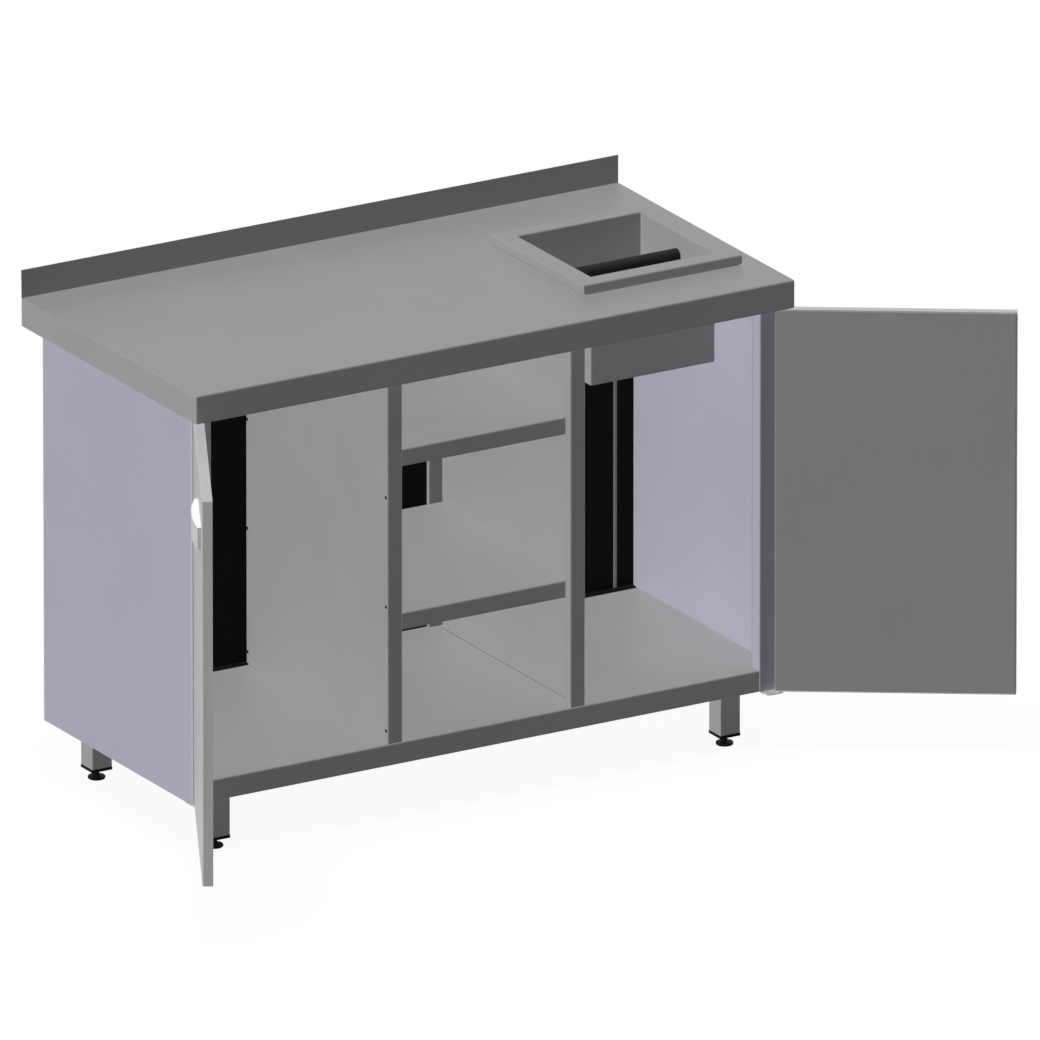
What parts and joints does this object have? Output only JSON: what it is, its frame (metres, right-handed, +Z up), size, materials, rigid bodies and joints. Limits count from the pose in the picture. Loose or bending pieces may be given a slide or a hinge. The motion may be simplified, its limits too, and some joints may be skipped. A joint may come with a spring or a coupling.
{
  "type": "bar station",
  "caption": "Free-standing stainless bar station with worktop, rear upstand, drop-in knock box, hinged cupboard doors, open shelved bay and levelling feet.",
  "frame": {"origin": "on the floor in the middle of the footprint, with the doors open as in the picture", "axes": "+X to the right along the worktop, +Y to the back, +Z up"},
  "size_m": [1.7172, 0.9456, 0.916],
  "materials": {
    "stainless": "satin brushed",
    "coated_panel": "matt coating",
    "black_panel": "matt coating",
    "black_plastic": "moulded",
    "rubber": "matt",
    "nylon": "moulded",
    "bright_handle": "polished",
    "zinc": "zinc plated",
    "magnet": "plain"
  },
  "bodies": {
    "cabinet": {"worktop": "stainless", "worktop_stiffener_front": "stainless", "worktop_stiffener_rear": "stainless", "top_rail_front": "stainless", "top_rail_rear": "stainless", "side_panel_left": "coated_panel", "side_panel_right": "coated_panel", "base_tray": "stainless", "partition_left": "stainless", "partition_right": "stainless", "shelf_lower": "stainless", "shelf_upper": "stainless", "shelf_bracket_lower_left": "stainless", "shelf_bracket_lower_right": "stainless", "shelf_bracket_upper_left": "stainless", "shelf_bracket_upper_right": "stainless", "back_panel": "black_panel", "back_corner_left": "black_panel", "back_corner_right": "black_panel", "back_joint_strip_left": "stainless", "back_joint_strip_right": "stainless", "leg_front_left": "stainless", "leg_front_right": "stainless", "leg_rear_left": "stainless", "leg_rear_right": "stainless", "leg_plug_front_left": "black_plastic", "leg_plug_front_right": "black_plastic", "leg_plug_rear_left": "black_plastic", "leg_plug_rear_right": "black_plastic", "hinge_bracket_top_left": "zinc", "hinge_bracket_top_right": "zinc", "hinge_bracket_bottom_left": "zinc", "hinge_bracket_bottom_right": "zinc", "magnet_catch_left": "black_plastic", "magnet_catch_right": "black_plastic", "catch_magnet_left": "magnet", "catch_magnet_right": "magnet"},
    "door_left": {"door_left_outer_skin": "stainless", "door_left_inner_skin": "stainless", "door_left_handle": "bright_handle", "door_left_handle_plate": "zinc", "door_left_bush_top": "nylon", "door_left_bush_bottom": "nylon"},
    "door_right": {"door_right_outer_skin": "stainless", "door_right_inner_skin": "stainless", "door_right_handle": "bright_handle", "door_right_handle_plate": "zinc", "door_right_bush_top": "nylon", "door_right_bush_bottom": "nylon"},
    "knock_box": {"knock_box_shell": "stainless", "knock_box_gasket": "rubber", "knock_bar_core": "stainless", "knock_bar_sleeve": "rubber", "knock_bar_nut_left": "zinc", "knock_bar_nut_right": "zinc"},
    "foot_front_left": {"levelling_foot_front_left": "black_plastic"},
    "foot_front_right": {"levelling_foot_front_right": "black_plastic"},
    "foot_rear_left": {"levelling_foot_rear_left": "black_plastic"},
    "foot_rear_right": {"levelling_foot_rear_right": "black_plastic"}
  },
  "joints": [
    {"name": "door_left_hinge", "type": "hinge", "parent": "cabinet", "child": "door_left", "pos_m": [-0.65576, -0.10547, 0.4595], "axis": [0, 0, 1], "range_deg": [-61.7, 118.3]},
    {"name": "door_right_hinge", "type": "hinge", "parent": "cabinet", "child": "door_right", "pos_m": [0.50864, -0.10547, 0.4595], "axis": [0, 0, 1], "range_deg": [-147, 33]},
    {"name": "knock_box_lift", "type": "slide", "parent": "cabinet", "child": "knock_box", "axis": [0, 0, 1], "range_m": [0, 0.24]},
    {"name": "foot_front_left_screw", "type": "slide", "parent": "cabinet", "child": "foot_front_left", "axis": [0, 0, 1], "range_m": [-0.02, 0.007]},
    {"name": "foot_front_right_screw", "type": "slide", "parent": "cabinet", "child": "foot_front_right", "axis": [0, 0, 1], "range_m": [-0.02, 0.007]},
    {"name": "foot_rear_left_screw", "type": "slide", "parent": "cabinet", "child": "foot_rear_left", "axis": [0, 0, 1], "range_m": [-0.02, 0.007]},
    {"name": "foot_rear_right_screw", "type": "slide", "parent": "cabinet", "child": "foot_rear_right", "axis": [0, 0, 1], "range_m": [-0.02, 0.007]}
  ]
}
